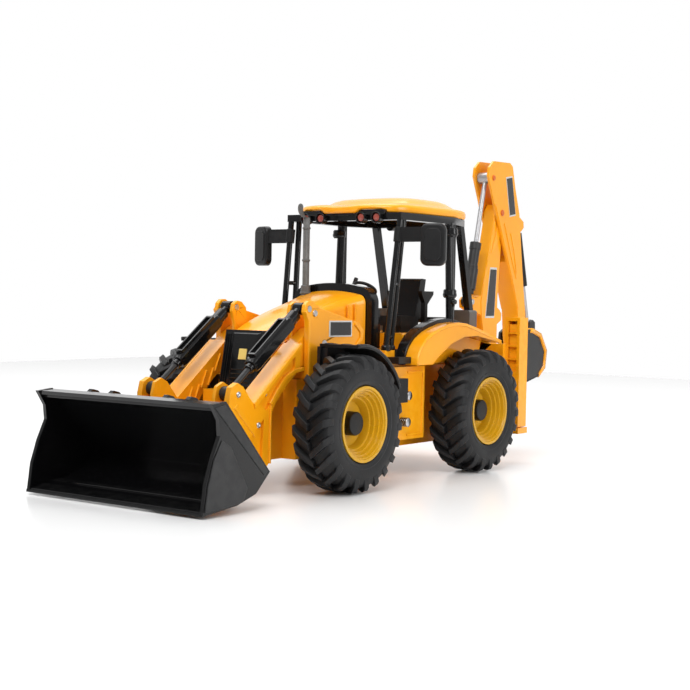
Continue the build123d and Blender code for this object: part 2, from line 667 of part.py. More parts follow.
boom_half = 4.0
boom_outline = [(214.5, 54), (214.5, 68), (212, 80), (210, 88), (209, 97), (213, 112), (219.6, 132), (224, 150),
                (225, 157), (228, 161), (233, 161.2), (236.5, 156), (235.5, 146), (234, 133), (232.5, 116),
                (231, 100), (231, 70), (229, 54), (225, 49), (219, 49)]
with BuildPart() as boom:
    plate((-boom_half, boom_half), boom_outline)
    plate((-boom_half, boom_half), [(230, 82), (236.2, 85), (236.6, 89.5), (234, 92), (230, 94)])
    plate((-boom_half, boom_half), [(211, 88), (196, 93.2), (195.4, 98), (198, 100.2), (204, 99.2), (211, 101)])
    # slots for the ram eyes between their ears
    plate((-2.9, 2.9), [(226.5, 78), (240, 78), (240, 96), (226.5, 96)], Mode.SUBTRACT)
    plate((-2.9, 2.9), [(190, 90), (207, 90), (207, 104), (190, 104)], Mode.SUBTRACT)
    shaft((-boom_half, boom_half), boom_pivot, pin_radius + running_fit, mode=Mode.SUBTRACT)
    shaft((-boom_half, boom_half), dipper_pivot, pin_radius + running_fit, mode=Mode.SUBTRACT)
    shaft((-boom_half, boom_half), boom_ram_tip, open_pin_radius)
    shaft((-boom_half, boom_half), dipper_ram_base, ram_pin_radius)

dipper_half = 6.2
fork_gap = 4.5
dipper_outline = [(212.5, 178), (213.5, 184), (219, 188.4), (240, 189), (243.6, 187), (248, 172), (254, 156),
                  (259.5, 120), (266, 84), (267.5, 72), (265.5, 67.5), (262, 66.2), (258, 68), (256.5, 74),
                  (254.5, 92), (246, 110), (237.5, 127), (228, 146), (221, 160)]
with BuildPart() as dipper:
    plate((-dipper_half, dipper_half), dipper_outline)
    plate((-fork_gap, fork_gap), [(200, 124), (200, 195), (270, 195), (243, 160), (243, 128), (240, 124)],
          Mode.SUBTRACT)
    plate((-boom_half, boom_half), [(250, 158), (259, 154), (263.8, 151.5), (264.2, 147.5), (261, 145), (254, 142)])
    plate((-2.9, 2.9), [(257.6, 138), (268, 138), (268, 156), (257.6, 156)], Mode.SUBTRACT)
    shaft((-dipper_half, dipper_half), dipper_pivot, pin_radius)
    shaft((-dipper_half, dipper_half), dipper_ram_tip, open_pin_radius)
    shaft((-boom_half, boom_half), scoop_ram_base, ram_pin_radius)
    shaft((-dipper_half, dipper_half), scoop_pivot, pin_radius + running_fit, mode=Mode.SUBTRACT)

scoop_half = 10.0
scoop_outer = [(268, 79), (280, 75.2), (288.8, 64), (286.8, 52.5), (278, 46.5), (263, 43.5)]
scoop_inner = [(263, 45.3), (277.4, 48.2), (285.2, 53.5), (287, 63.6), (279, 73.6), (268, 77.2)]
scoop_cheek = [(256.8, 70), (258, 76.5), (262, 78.6)] + scoop_outer
with BuildPart() as backhoe_bucket:
    plate((-scoop_half, scoop_half), scoop_outer + scoop_inner)
    for x in both((8.2, scoop_half)):
        plate(x, scoop_cheek)
    for x in both((2.9, 4.6)):
        plate(x, [(272.5, 76.6), (275.5, 83.5), (279, 85.2), (282, 83.5), (282.6, 71)])
    for x in (-8.2, -4.1, 0.0, 4.1, 8.2):
        plate((x - 1.1, x + 1.1), [(263.4, 43.6), (257.6, 43.1), (263.4, 45.3)])
    shaft((-scoop_half, scoop_half), scoop_pivot, pin_radius)
    shaft((-4.6, 4.6), scoop_ram_tip, open_pin_radius)

# ---- pins and screws fixed to the body ----
with BuildPart() as pivot_pins:
    for x in both((tower_inner[0], tower_outer[1])):
        shaft(x, lift_pivot, pin_radius)
        shaft(x, lift_ram_base, ram_pin_radius)
    post((34, 69.5), (0, swing_y), pin_radius)

with BuildPart() as body_screws:
    for x in both((tower_outer[1], tower_outer[1] + 0.7)):
        shaft(x, (-0.8, 89.8), 1.5)

# ---- write every piece ----
pieces = {
    "chassis_tub": chassis_tub,
    "battery_cover": battery_cover,
    "battery_pack": battery_pack,
    "circuit_board": circuit_board,
    "drive_motor": drive_motor,
    "front_axle_beam": front_axle_beam,
    "steering_servo": steering_servo,
    "power_switch": power_switch,
    "hood": hood,
    "grille": grille,
    "cowl": cowl,
    "cab_floor": cab_floor,
    "cab_frame": cab_frame,
    "roof": roof,
    "roof_lamps": roof_lamps,
    "seat": seat,
    "rear_fenders": rear_fenders,
    "rear_locker": rear_locker,
    "exhaust_pipe": exhaust_pipe,
    "mirrors": mirrors,
    "side_steps": side_steps,
    "loader_towers": loader_towers,
    "rear_frame": rear_frame,
    "pivot_pins": pivot_pins,
    "body_screws": body_screws,
    "rear_axle_shaft": rear_axle_shaft,
    "axle_gear": axle_gear,
    "rear_rims": rear_rims,
    "rear_tyres": rear_tyres,
    "motor_pinion": motor_pinion,
    "steering_knuckle_left": steering_knuckle_left,
    "steering_knuckle_right": steering_knuckle_right,
    "mudguard_front_left": mudguard_front_left,
    "mudguard_front_right": mudguard_front_right,
    "rim_front_left": rim_front_left,
    "rim_front_right": rim_front_right,
    "tyre_front_left": tyre_front_left,
    "tyre_front_right": tyre_front_right,
    "track_rod": track_rod,
    "steering_wheel": steering_wheel,
    "loader_arm_left": loader_arm_left,
    "loader_arm_right": loader_arm_right,
    "arm_cross_tube": arm_cross_tube,
    "loader_bucket": loader_bucket,
    "lift_ram_barrel_left": lift_ram_barrel_left,
    "lift_ram_barrel_right": lift_ram_barrel_right,
    "lift_ram_rod_left": lift_ram_rod_left,
    "lift_ram_rod_right": lift_ram_rod_right,
    "kingpost": kingpost,
    "boom": boom,
    "boom_ram_barrel": boom_ram_barrel,
    "boom_ram_rod": boom_ram_rod,
    "dipper": dipper,
    "dipper_ram_barrel": dipper_ram_barrel,
    "dipper_ram_rod": dipper_ram_rod,
    "backhoe_bucket": backhoe_bucket,
    "scoop_ram_barrel": scoop_ram_barrel,
    "scoop_ram_rod": scoop_ram_rod,
    "stabilizer_leg_left": stabilizer_leg_left,
    "stabilizer_leg_right": stabilizer_leg_right,
}
for name, piece in pieces.items():
    piece.part.label = name
    export_step(piece.part, f"parts/{name}.step")
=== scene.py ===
import json
from math import cos, pi, radians, sin

import bmesh
import bpy
from mathutils import Matrix, Vector


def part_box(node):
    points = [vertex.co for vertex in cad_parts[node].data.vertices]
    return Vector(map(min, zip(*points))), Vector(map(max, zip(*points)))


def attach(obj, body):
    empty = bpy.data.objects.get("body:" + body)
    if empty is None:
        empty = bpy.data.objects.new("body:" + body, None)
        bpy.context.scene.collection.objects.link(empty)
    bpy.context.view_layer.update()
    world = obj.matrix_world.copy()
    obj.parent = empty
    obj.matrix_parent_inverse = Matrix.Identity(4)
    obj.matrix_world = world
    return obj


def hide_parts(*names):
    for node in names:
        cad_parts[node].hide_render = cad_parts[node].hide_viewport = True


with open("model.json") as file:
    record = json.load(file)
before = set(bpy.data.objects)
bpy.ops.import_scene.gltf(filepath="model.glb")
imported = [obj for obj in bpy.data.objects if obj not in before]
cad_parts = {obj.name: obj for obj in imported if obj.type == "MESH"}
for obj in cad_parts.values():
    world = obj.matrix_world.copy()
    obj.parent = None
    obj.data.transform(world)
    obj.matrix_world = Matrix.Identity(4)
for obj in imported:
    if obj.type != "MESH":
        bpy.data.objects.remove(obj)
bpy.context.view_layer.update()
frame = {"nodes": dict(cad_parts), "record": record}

MM = 0.001
NODES = frame["nodes"]


# ---- places: millimetres from the front axle line, turned into the row frame ----
def middle(node):
    low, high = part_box(node)
    return (low + high) / 2


AXLE = middle("tyre_front_left")
WHEEL_X = AXLE.x / MM
TYRE_R = (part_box("tyre_front_left")[1].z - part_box("tyre_front_left")[0].z) / 2 / MM
WHEELBASE = (middle("rear_tyres").y - AXLE.y) / MM


def at(x, y, z):
    """Point in metres from millimetres: x across, y behind the front axle, z above the ground."""
    return Vector((x * MM, AXLE.y + y * MM, z * MM))


# ---- materials ----
def tinted(color, k):
    return (min(color[0] * k, 1), min(color[1] * k, 1), min(color[2] * k, 1), 1)


def plastic(name, color, rough, coat=0.0, grain=0.05, grain_scale=1500, blotch=0.05, scuff=0.12, metallic=0.0,
            worn=None, specular=0.5):
    """Moulded plastic, rubber or metal: colour drift, polish drift, fine grain, scuffs and rubbed edges."""
    mat = bpy.data.materials.new(name)
    mat.use_nodes = True
    nodes, links = mat.node_tree.nodes, mat.node_tree.links
    shader = nodes["Principled BSDF"]
    shader.inputs["Metallic"].default_value = metallic
    shader.inputs["Coat Weight"].default_value = coat
    shader.inputs["Specular IOR Level"].default_value = specular
    shader.inputs["Coat Roughness"].default_value = 0.08
    coords = nodes.new("ShaderNodeTexCoord")

    def noise(scale, detail=3.0, stretch=None):
        node = nodes.new("ShaderNodeTexNoise")
        node.inputs["Scale"].default_value = scale
        node.inputs["Detail"].default_value = detail
        source = coords.outputs["Object"]
        if stretch:
            mapping = nodes.new("ShaderNodeMapping")
            mapping.inputs["Scale"].default_value = stretch
            mapping.inputs["Rotation"].default_value = (0.4, 0.9, 0.3)
            links.new(source, mapping.inputs["Vector"])
            source = mapping.outputs["Vector"]
        links.new(source, node.inputs["Vector"])
        return node.outputs["Fac"]

    def ramp(value, low, high, a, b):
        node = nodes.new("ShaderNodeMapRange")
        node.inputs["From Min"].default_value = low
        node.inputs["From Max"].default_value = high
        node.inputs["To Min"].default_value = a
        node.inputs["To Max"].default_value = b
        links.new(value, node.inputs["Value"])
        return node.outputs["Result"]

    def math_node(operation, a, b):
        node = nodes.new("ShaderNodeMath")
        node.operation = operation
        for socket, value in zip(node.inputs, (a, b)):
            if isinstance(value, (int, float)):
                socket.default_value = value
            else:
                links.new(value, socket)
        return node.outputs["Value"]

    drift = nodes.new("ShaderNodeMix")
    drift.data_type = "RGBA"
    drift.inputs["A"].default_value = tinted(color, 1 - blotch)
    drift.inputs["B"].default_value = tinted(color, 1 + blotch)
    links.new(ramp(noise(18, 4), 0.35, 0.65, 0, 1), drift.inputs["Factor"])
    surface = drift.outputs["Result"]
    scratches = ramp(noise(260, 6, (1, 14, 1)), 0.66, 0.76, 0, 1)
    if worn:
        geometry = nodes.new("ShaderNodeNewGeometry")
        edge = math_node("MULTIPLY", ramp(geometry.outputs["Pointiness"], 0.52, 0.60, 0, 1),
                         ramp(noise(220, 4), 0.4, 0.62, 0.1, 1))
        rub = nodes.new("ShaderNodeMix")
        rub.data_type = "RGBA"
        rub.inputs["B"].default_value = (*worn, 1)
        links.new(surface, rub.inputs["A"])
        links.new(edge, rub.inputs["Factor"])
        surface = rub.outputs["Result"]
    links.new(surface, shader.inputs["Base Color"])
    polish = ramp(noise(55, 5), 0.3, 0.7, rough * 0.82, rough * 1.2)
    links.new(math_node("ADD", polish, math_node("MULTIPLY", scratches, scuff)), shader.inputs["Roughness"])
    bump = nodes.new("ShaderNodeBump")
    bump.inputs["Strength"].default_value = grain
    bump.inputs["Distance"].default_value = 0.0004
    height = math_node("ADD", noise(grain_scale, 2), math_node("MULTIPLY", scratches, -0.5))
    links.new(height, bump.inputs["Height"])
    links.new(bump.outputs["Normal"], shader.inputs["Normal"])
    return mat


MATS = {"body_yellow": plastic("yellow_plastic", (0.93, 0.365, 0.006), 0.22, coat=0.15, grain=0.04,
                               worn=(0.98, 0.43, 0.015), specular=0.4),
        "rim_yellow": plastic("rim_plastic", (0.60, 0.32, 0.008), 0.28, coat=0.1, grain=0.05, specular=0.4),
        "tyre_rubber": plastic("tyre_rubber", (0.009, 0.0092, 0.01), 0.5, grain=0.16, grain_scale=900,
                               blotch=0.2, scuff=0.2, worn=(0.018, 0.0185, 0.02), specular=0.3),
        "black_gloss": plastic("black_gloss_plastic", (0.004, 0.004, 0.0044), 0.15, coat=0.15, grain=0.03,
                               scuff=0.12, worn=(0.012, 0.012, 0.012), specular=0.35),
        "black_matte": plastic("black_grained_plastic", (0.007, 0.007, 0.0074), 0.4, grain=0.14,
                               blotch=0.12, worn=(0.015, 0.015, 0.016), specular=0.3),
        "dark_grey": plastic("dark_grey_plastic", (0.018, 0.0182, 0.019), 0.38, grain=0.12,
                             worn=(0.035, 0.035, 0.035), specular=0.35),
        "mid_grey": plastic("mid_grey_plastic", (0.11, 0.109, 0.105), 0.4, grain=0.1,
                            worn=(0.16, 0.16, 0.155), specular=0.35),
        "ram_silver": plastic("silver_plastic", (0.42, 0.42, 0.43), 0.3, grain=0.05, metallic=0.6),
        "steel": plastic("plain_steel", (0.52, 0.52, 0.53), 0.28, grain=0.06, metallic=1.0, scuff=0.25),
        "lamp_lens": plastic("lamp_lens_plastic", (0.5, 0.36, 0.3), 0.12, coat=0.8, grain=0.1,
                             grain_scale=2600),
        "board_green": plastic("board_laminate", (0.01, 0.12, 0.035), 0.35),
        "cell_wrap": plastic("cell_wrap_film", (0.03, 0.09, 0.3), 0.25, coat=0.3),
        "motor_can": plastic("motor_steel", (0.5, 0.5, 0.5), 0.3, metallic=1.0),
        "gear_white": plastic("gear_plastic", (0.72, 0.71, 0.66), 0.4),}
MATS["lamp_red"] = plastic("lamp_red_plastic", (0.32, 0.05, 0.03), 0.18, coat=0.8, grain=0.1,
                           grain_scale=2600)
MATS["mirror_face"] = plastic("mirror_face_film", (0.75, 0.76, 0.78), 0.06, metallic=1.0, grain=0.01,
                              scuff=0.05)
MATS["label"] = plastic("blank_label_film", (0.006, 0.006, 0.007), 0.22, coat=0.3, grain=0.02)
MATS["label_edge"] = plastic("label_edge_film", (0.6, 0.6, 0.58), 0.35, grain=0.02)
# painted shade: a darker orange copy of the yellow body, standing in for the shade that falls in hollows
MATS["painted_shade_orange"] = plastic("shaded_orange_plastic", (0.62, 0.12, 0.006), 0.4, grain=0.05)
MATS["emblem"] = plastic("plain_emblem_film", (0.85, 0.62, 0.16), 0.3, coat=0.3, grain=0.03)

for subpart in frame["record"]["subparts"]:
    node = NODES[subpart["node"]]
    node.data.materials.clear()
    node.data.materials.append(MATS[subpart["material_slot"]])


# ---- finishing helpers ----
def soften(obj, width, segments=2, angle=32):
    """Rounded moulded edges, then shading that keeps flat faces flat."""
    weld = obj.modifiers.new("weld", "WELD")
    weld.merge_threshold = 0.000002
    if width:
        bevel = obj.modifiers.new("edge", "BEVEL")
        bevel.width = width * MM
        bevel.segments = segments
        bevel.limit_method = "ANGLE"
        bevel.angle_limit = radians(angle)
        bevel.use_clamp_overlap = True
    for polygon in obj.data.polygons:
        polygon.use_smooth = True
    shade = obj.modifiers.new("shade", "WEIGHTED_NORMAL")
    shade.keep_sharp = False
    shade.weight = 60
    return obj


def piece(name, mesh_maker, body, slot, material=None, bevel=0.25, segments=2):
    """One finished piece from a bmesh, riding on a body and wearing a slot's finish."""
    mesh = bpy.data.meshes.new(name)
    bm = bmesh.new()
    mesh_maker(bm)
    bmesh.ops.remove_doubles(bm, verts=bm.verts, dist=1e-7)
    bmesh.ops.recalc_face_normals(bm, faces=bm.faces)
    bm.to_mesh(mesh)
    bm.free()
    obj = bpy.data.objects.new(name, mesh)
    bpy.context.scene.collection.objects.link(obj)
    mesh.materials.append(MATS[material or slot])
    soften(obj, bevel, segments)
    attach(obj, body)
    return obj


def add_prism(bm, ring_a, ring_b):
    """Closed solid between two matching rings of points."""
    a = [bm.verts.new(p) for p in ring_a]
    b = [bm.verts.new(p) for p in ring_b]
    bm.faces.new(list(reversed(a)))
    bm.faces.new(b)
    for i in range(len(a)):
        j = (i + 1) % len(a)
        bm.faces.new((a[i], a[j], b[j], b[i]))


def add_plate(bm, x, outline):
    """Plate between two x limits, cut to a (y, z) outline."""
    add_prism(bm, [at(x[0], y, z) for y, z in outline], [at(x[1], y, z) for y, z in outline])


def add_cross(bm, y, outline):
    """Plate between two y limits, cut to an (x, z) outline."""
    add_prism(bm, [at(x, y[0], z) for x, z in outline], [at(x, y[1], z) for x, z in outline])


def add_box(bm, x, y, z):
    add_plate(bm, x, [(y[0], z[0]), (y[1], z[0]), (y[1], z[1]), (y[0], z[1])])


def add_lathe(bm, centre, axis, profile, steps=48):
    """Turned solid: profile is (distance along axis, radius), closed on the axis or as a ring."""
    axis = Vector(axis).normalized()
    helper = Vector((0, 0, 1)) if abs(axis.z) < 0.9 else Vector((1, 0, 0))
    u = axis.cross(helper).normalized()
    v = axis.cross(u)
    rings = []
    for d, r in profile:
        if r == 0:
            rings.append([bm.verts.new(centre + axis * d * MM)])
        else:
            rings.append([bm.verts.new(centre + axis * d * MM + (u * cos(t) + v * sin(t)) * r * MM)
                          for t in (2 * pi * i / steps for i in range(steps))])
    for a, b in zip(rings, rings[1:]):
        for i in range(steps):
            j = (i + 1) % steps
            corners = [a[i % len(a)], a[j % len(a)], b[j % len(b)], b[i % len(b)]]
            corners = list(dict.fromkeys(corners))
            if len(corners) > 2:
                bm.faces.new(corners)


def add_rod(bm, start, end, radius, steps=24, chamfer=0.25):
    """Round rod with chamfered ends between two points in metres."""
    length = (end - start).length / MM
    add_lathe(bm, start, end - start,
              [(0, 0), (0, radius - chamfer), (chamfer, radius), (length - chamfer, radius),
               (length, radius - chamfer), (length, 0)], steps)


def add_tube(bm, points, radius, steps=16, round_corner=0.0):
    """Round bar through a list of points in metres, with filleted corners."""
    path = []
    for i, p in enumerate(points):
        if 0 < i < len(points) - 1 and round_corner:
            before = (points[i - 1] - p).normalized() * round_corner * MM
            after = (points[i + 1] - p).normalized() * round_corner * MM
            for k in range(7):
                t = k / 6
                path.append((p + before) * (1 - t) ** 2 + p * 2 * t * (1 - t) + (p + after) * t ** 2)
        else:
            path.append(p)
    rings = []
    side = None
    for i, p in enumerate(path):
        along = (path[min(i + 1, len(path) - 1)] - path[max(i - 1, 0)]).normalized()
        if side is None:
            side = along.cross(Vector((0, 0, 1)) if abs(along.z) < 0.9 else Vector((1, 0, 0))).normalized()
        side = (side - along * side.dot(along)).normalized()
        other = along.cross(side)
        rings.append([bm.verts.new(p + (side * cos(t) + other * sin(t)) * radius * MM)
                      for t in (2 * pi * k / steps for k in range(steps))])
    for a, b in zip(rings, rings[1:]):
        for i in range(steps):
            j = (i + 1) % steps
            bm.faces.new((a[i], a[j], b[j], b[i]))
    bm.faces.new(list(reversed(rings[0])))
    bm.faces.new(rings[-1])


def add_screw(bm, centre, axis, radius=1.6):
    """Pan-head screw with a round dished recess."""
    axis = Vector(axis).normalized()
    add_lathe(bm, centre, axis, [(-0.6, 0), (-0.6, radius), (0.25, radius), (0.55, radius * 0.7), (0.6, 0.62),
                                 (0.1, 0.35), (0.1, 0)], 20)


# soften every kept CAD node's edges
EDGE = {"axle_gear": 0, "motor_pinion": 0, "pivot_pins": 0.3, "cab_frame": 0.35, "rear_rims": 0.25,
        "rim_front_left": 0.25, "rim_front_right": 0.25, "roof": 0.3, "hood": 0.5, "loader_bucket": 0.3}
for name, node in NODES.items():
    soften(node, EDGE.get(name, 0.4))


# ---- tyres with chevron lugs ----
LUGS = 22
CARCASS = [(9.0, 17.6), (9.1, 19.3), (10.0, 19.7), (10.7, 20.6), (11.0, 22.2), (10.8, 22.6), (11.1, 24.5),
           (11.15, 27.0), (10.8, 29.3), (10.1, 30.8), (8.6, 31.7), (5.0, 32.3), (0.0, 32.5)]
LUG_PATH = [((-0.8, 32.2), (-0.3, 34.75)), ((3.0, 32.0), (3.2, 34.95)), ((6.4, 31.8), (6.6, 34.85)),
            ((8.8, 31.0), (9.3, 34.1)), ((10.0, 29.9), (10.9, 32.2)), ((10.4, 28.2), (11.28, 29.8)),
            ((10.6, 27.0), (11.25, 27.9))]
LUG_SLANT = 0.25


def add_tyre(bm, centre):
    """Carcass with side beads and two rows of tractor lugs, staggered by half a pitch."""
    profile = CARCASS + [(-u, r) for u, r in reversed(CARCASS[:-1])]
    add_lathe(bm, centre, (1, 0, 0), profile + [profile[0]], 120)

    def point(u, r, angle):
        return centre + Vector((u * MM, r * MM * sin(angle), r * MM * cos(angle)))

    for row in (1, -1):
        for i in range(LUGS):
            start = 2 * pi * (i + (0.5 if row < 0 else 0)) / LUGS
            rings = []
            for (bu, br), (tu, tr) in LUG_PATH:
                reach = max(bu, 0) / 10.6
                angle = start + LUG_SLANT * reach
                wide, narrow = 2.2 + 0.3 * reach, 1.6 + 0.2 * reach
                rings.append([point(row * bu, br, angle - wide / br),
                              point(row * tu, tr, angle - narrow / tr),
                              point(row * tu, tr, angle + narrow / tr),
                              point(row * bu, br, angle + wide / br)])
            loops = [[bm.verts.new(p) for p in ring] for ring in rings]
            for a, b in zip(loops, loops[1:]):
                for k in range(4):
                    m = (k + 1) % 4
                    bm.faces.new((a[k], a[m], b[m], b[k]))
            bm.faces.new(list(reversed(loops[0])))
            bm.faces.new(loops[-1])


for side_name, sign in (("left", 1), ("right", -1)):
    tyre = piece(f"tyre_lugged_front_{side_name}", lambda bm: add_tyre(bm, at(sign * WHEEL_X, 0, TYRE_R)),
                 f"front_wheel_{side_name}", "tyre_rubber", bevel=0.35)
    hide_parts(f"tyre_front_{side_name}")


def both_rear_tyres(bm):
    for s in (1, -1):
        add_tyre(bm, at(s * WHEEL_X, WHEELBASE, TYRE_R))


rear_pair = piece("tyres_lugged_rear", both_rear_tyres, "rear_axle", "tyre_rubber", bevel=0.35)
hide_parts("rear_tyres")


# ---- hub caps ----
def add_hub(bm, centre, outward):
    axis = Vector((outward, 0, 0))
    add_lathe(bm, centre, axis, [(-0.7, 0), (-0.7, 6.1), (4.3, 6.1), (5.0, 5.7), (5.3, 4.9), (5.35, 0)], 48)


for side_name, sign in (("left", 1), ("right", -1)):
    piece(f"hub_cap_front_{side_name}", lambda bm: add_hub(bm, at(sign * WHEEL_X, 0, TYRE_R), sign),
          f"front_wheel_{side_name}", "black_matte", bevel=0.15)
    piece(f"hub_cap_rear_{side_name}", lambda bm: add_hub(bm, at(sign * WHEEL_X, WHEELBASE, TYRE_R), sign),
          "rear_axle", "black_matte", bevel=0.15)


# ---- front bucket details ----
BUCKET_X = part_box("loader_bucket")[1].x / MM


def bucket_sides(bm):
    """Thicker wear plate low on each side, with a rib along its rear edge."""
    for s in (1, -1):
        face = s * BUCKET_X
        add_plate(bm, (face - s * 0.4, face + s * 0.7),
                  [(-112.4, 3.0), (-110.6, 14.6), (-107.0, 25.6), (-101.6, 34.0), (-96.0, 31.0),
                   (-84.0, 11.0), (-87.0, 5.0), (-91.0, 4.6)])
        add_plate(bm, (face - s * 0.4, face + s * 0.45),
                  [(-106.5, 48.6), (-99.6, 49.8), (-69.6, 17.6), (-72.0, 15.8)])


piece("bucket_side_plates", bucket_sides, "front_bucket", "dark_grey", bevel=0.3)


def bucket_inside(bm):
    """Cutting strip along the lip, floor seams and top flange."""
    inner = BUCKET_X - 2.0
    add_plate(bm, (-inner, inner), [(-112.8, 2.4), (-104.0, 3.9), (-104.2, 4.9), (-112.6, 3.2)])
    add_plate(bm, (-inner, inner), [(-98.0, 4.8), (-94.5, 5.4), (-94.7, 6.4), (-98.0, 5.8)])
    add_plate(bm, (-inner, inner), [(-104.5, 47.0), (-100.2, 47.0), (-100.2, 48.7), (-104.5, 48.7)])


piece("bucket_inner_strips", bucket_inside, "front_bucket", "black_gloss", bevel=0.2)


def bucket_rear(bm):
    """Back-sheet stiffener behind the shell and round hinge bosses."""
    for s in (1, -1):
        for x in (17.7, 32.3):
            add_lathe(bm, at(s * x, -60, 20), (1, 0, 0), [(-1.7, 0), (-1.7, 5.0), (1.7, 5.0), (1.7, 0)], 32)
    add_plate(bm, (-BUCKET_X + 3, BUCKET_X - 3), [(-97.6, 50.0), (-95.4, 49.4), (-93.0, 46.6), (-94.2, 45.6)])


piece("bucket_back_ribs", bucket_rear, "front_bucket", "black_gloss", bevel=0.3)


# ---- loader arms ----
ARM_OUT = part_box("loader_arm_left")[1].x / MM
ARM_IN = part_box("loader_arm_left")[0].x / MM


def arm_outer(bm, s):
    """Raised edge flanges, a curved lower flange, a groove strip and the rib of one arm's outer face."""
    out = (s * (ARM_OUT - 0.6), s * (ARM_OUT + 0.9))
    add_plate(bm, out, [(-48.4, 46.2), (-12, 74.8), (-11, 73.4), (-47.4, 43.4)])
    add_plate(bm, out, [(-35.9, 44.6), (-35.9, 15.8), (-34.9, 15.8), (-34.9, 44.6)])
    lower = [(-36.0, 45.5), (-30.0, 52.6), (-24.0, 58.3), (-17.0, 61.6), (-9.0, 62.6), (-9.0, 60.6),
             (-16.0, 59.6), (-22.6, 56.4), (-28.4, 50.8), (-34.0, 44.5)]
    add_plate(bm, (s * (ARM_OUT - 8.0), s * (ARM_OUT + 0.4)), lower)
    groove = [(-62.6, 44.6), (-60.4, 46.2), (-46.4, 31.8), (-46.6, 29.4)]
    add_plate(bm, (s * (ARM_OUT - 0.6), s * (ARM_OUT + 0.35)), groove)


def arm_inner(bm, s):
    """Moulded rib lattice on the arm's inner face."""
    for i in range(7):
        y = -52.0 + 5.2 * i
        z = 47.0 + 4.1 * i - (12 if i % 2 else 9)
        add_prism(bm, [at(s * (ARM_IN - 0.9), y - 0.4, z - 4), at(s * (ARM_IN - 0.9), y + 0.4, z - 4),
                       at(s * (ARM_IN - 0.9), y + 4.4, z + 5), at(s * (ARM_IN - 0.9), y + 3.6, z + 5)],
                  [at(s * (ARM_IN + 0.4), y - 0.4, z - 4), at(s * (ARM_IN + 0.4), y + 0.4, z - 4),
                   at(s * (ARM_IN + 0.4), y + 4.4, z + 5), at(s * (ARM_IN + 0.4), y + 3.6, z + 5)])


def arm_screws(bm, s):
    for y, z in ((-59.4, 50.8), (-44.1, 35.2), (-39.6, 60 - 9.5)):
        add_screw(bm, at(s * (ARM_OUT + 0.05), y, z), (s, 0, 0), 1.5)
    add_lathe(bm, at(s * (ARM_OUT - 0.4), -60, 20), (s, 0, 0), [(0, 0), (0, 4.2), (1.0, 4.2), (1.0, 0)], 32)


for side_name, sign in (("left", 1), ("right", -1)):
    piece(f"arm_flanges_{side_name}", lambda bm: arm_outer(bm, sign), "loader_arms", "body_yellow", bevel=0.3)
    piece(f"arm_inner_ribs_{side_name}", lambda bm: arm_inner(bm, sign), "loader_arms", "body_yellow",
          bevel=0.15)
    piece(f"arm_screws_{side_name}", lambda bm: arm_screws(bm, sign), "loader_arms", "steel", bevel=0)


# ---- lift rams: slotted housings over the barrels ----
RAM_BASE, RAM_TIP, RAM_X = (-5.0, 92.0), (-60.0, 51.0), 24.3


def along_ram(base, tip):
    """Returns a function from (sideways, distance along, height off the axis) to a point."""
    direction = Vector((0, tip[0] - base[0], tip[1] - base[1])).normalized()
    normal = Vector((1, 0, 0)).cross(direction)
    if normal.z < 0:
        normal = -normal

    def spot(x, d, h):
        return at(x, base[0], base[1]) + direction * d * MM + normal * h * MM
    return spot


def ram_housing(bm, x):
    """Boxy housing with chamfered corners and a long slot framed on its upper face."""
    spot = along_ram(RAM_BASE, RAM_TIP)

    def section(d, w, low, high, c=1.1):
        return [spot(x + a, d, b) for a, b in ((-w + c, low), (w - c, low), (w, low + c), (w, high - c),
                                               (w - c, high), (-w + c, high), (-w, high - c), (-w, low + c))]
    stations = [(10.5, 2.8, -3.0, 2.6), (13.0, 3.42, -3.6, 3.5), (45.0, 3.42, -3.6, 3.5),
                (47.6, 3.0, -3.2, 3.0)]
    rings = [[bm.verts.new(p) for p in section(*s)] for s in stations]
    for a, b in zip(rings, rings[1:]):
        for i in range(8):
            j = (i + 1) % 8
            bm.faces.new((a[i], a[j], b[j], b[i]))
    bm.faces.new(list(reversed(rings[0])))
    bm.faces.new(rings[-1])
    for w in (-2.1, 2.1):
        add_prism(bm,
                  [spot(x + w - 0.55, 14.5, 3.4), spot(x + w + 0.55, 14.5, 3.4),
                   spot(x + w + 0.55, 44, 3.4), spot(x + w - 0.55, 44, 3.4)],
                  [spot(x + w - 0.45, 14.9, 5.0), spot(x + w + 0.45, 14.9, 5.0),
                   spot(x + w + 0.45, 43.6, 5.0), spot(x + w - 0.45, 43.6, 5.0)])
    for d in (14.4, 42.8):
        add_prism(bm, [spot(x - 2.4, d, 3.4), spot(x + 2.4, d, 3.4), spot(x + 2.4, d + 1.3, 3.4),
                       spot(x - 2.4, d + 1.3, 3.4)],
                  [spot(x - 2.4, d, 5.0), spot(x + 2.4, d, 5.0), spot(x + 2.4, d + 1.3, 5.0),
                   spot(x - 2.4, d + 1.3, 5.0)])
    add_rod(bm, spot(x, 46.8, 0), spot(x, 50.2, 0), 2.5)


for side_name, sign in (("left", 1), ("right", -1)):
    piece(f"lift_ram_housing_{side_name}", lambda bm: ram_housing(bm, sign * RAM_X),
          f"lift_barrel_{side_name}", "black_gloss", bevel=0.3)


# ---- towers, hood, grille ----
TOWER_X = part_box("loader_towers")[1].x / MM


def blank_label(name, x, outline, body, border=0.9):
    """Raised blank sticker with a pale border."""
    s = 1 if x > 0 else -1
    cy = sum(p[0] for p in outline) / len(outline)
    cz = sum(p[1] for p in outline) / len(outline)
    inner = [(cy + (y - cy) * 0.9, cz + (z - cz) * (1 - border / 5)) for y, z in outline]
    piece(name + "_edge", lambda bm: add_plate(bm, (x - s * 0.2, x + s * 0.25), outline), body, "black_gloss",
          "label_edge", bevel=0.08)
    piece(name + "_field", lambda bm: add_plate(bm, (x - s * 0.2, x + s * 0.4), inner), body, "black_gloss",
          "label", bevel=0.08)


for side_name, sign in (("left", 1), ("right", -1)):
    blank_label(f"side_label_{side_name}", sign * TOWER_X,
                [(11.5, 77.6), (31.5, 77.6), (31.5, 86.0), (11.5, 86.0)], "chassis")


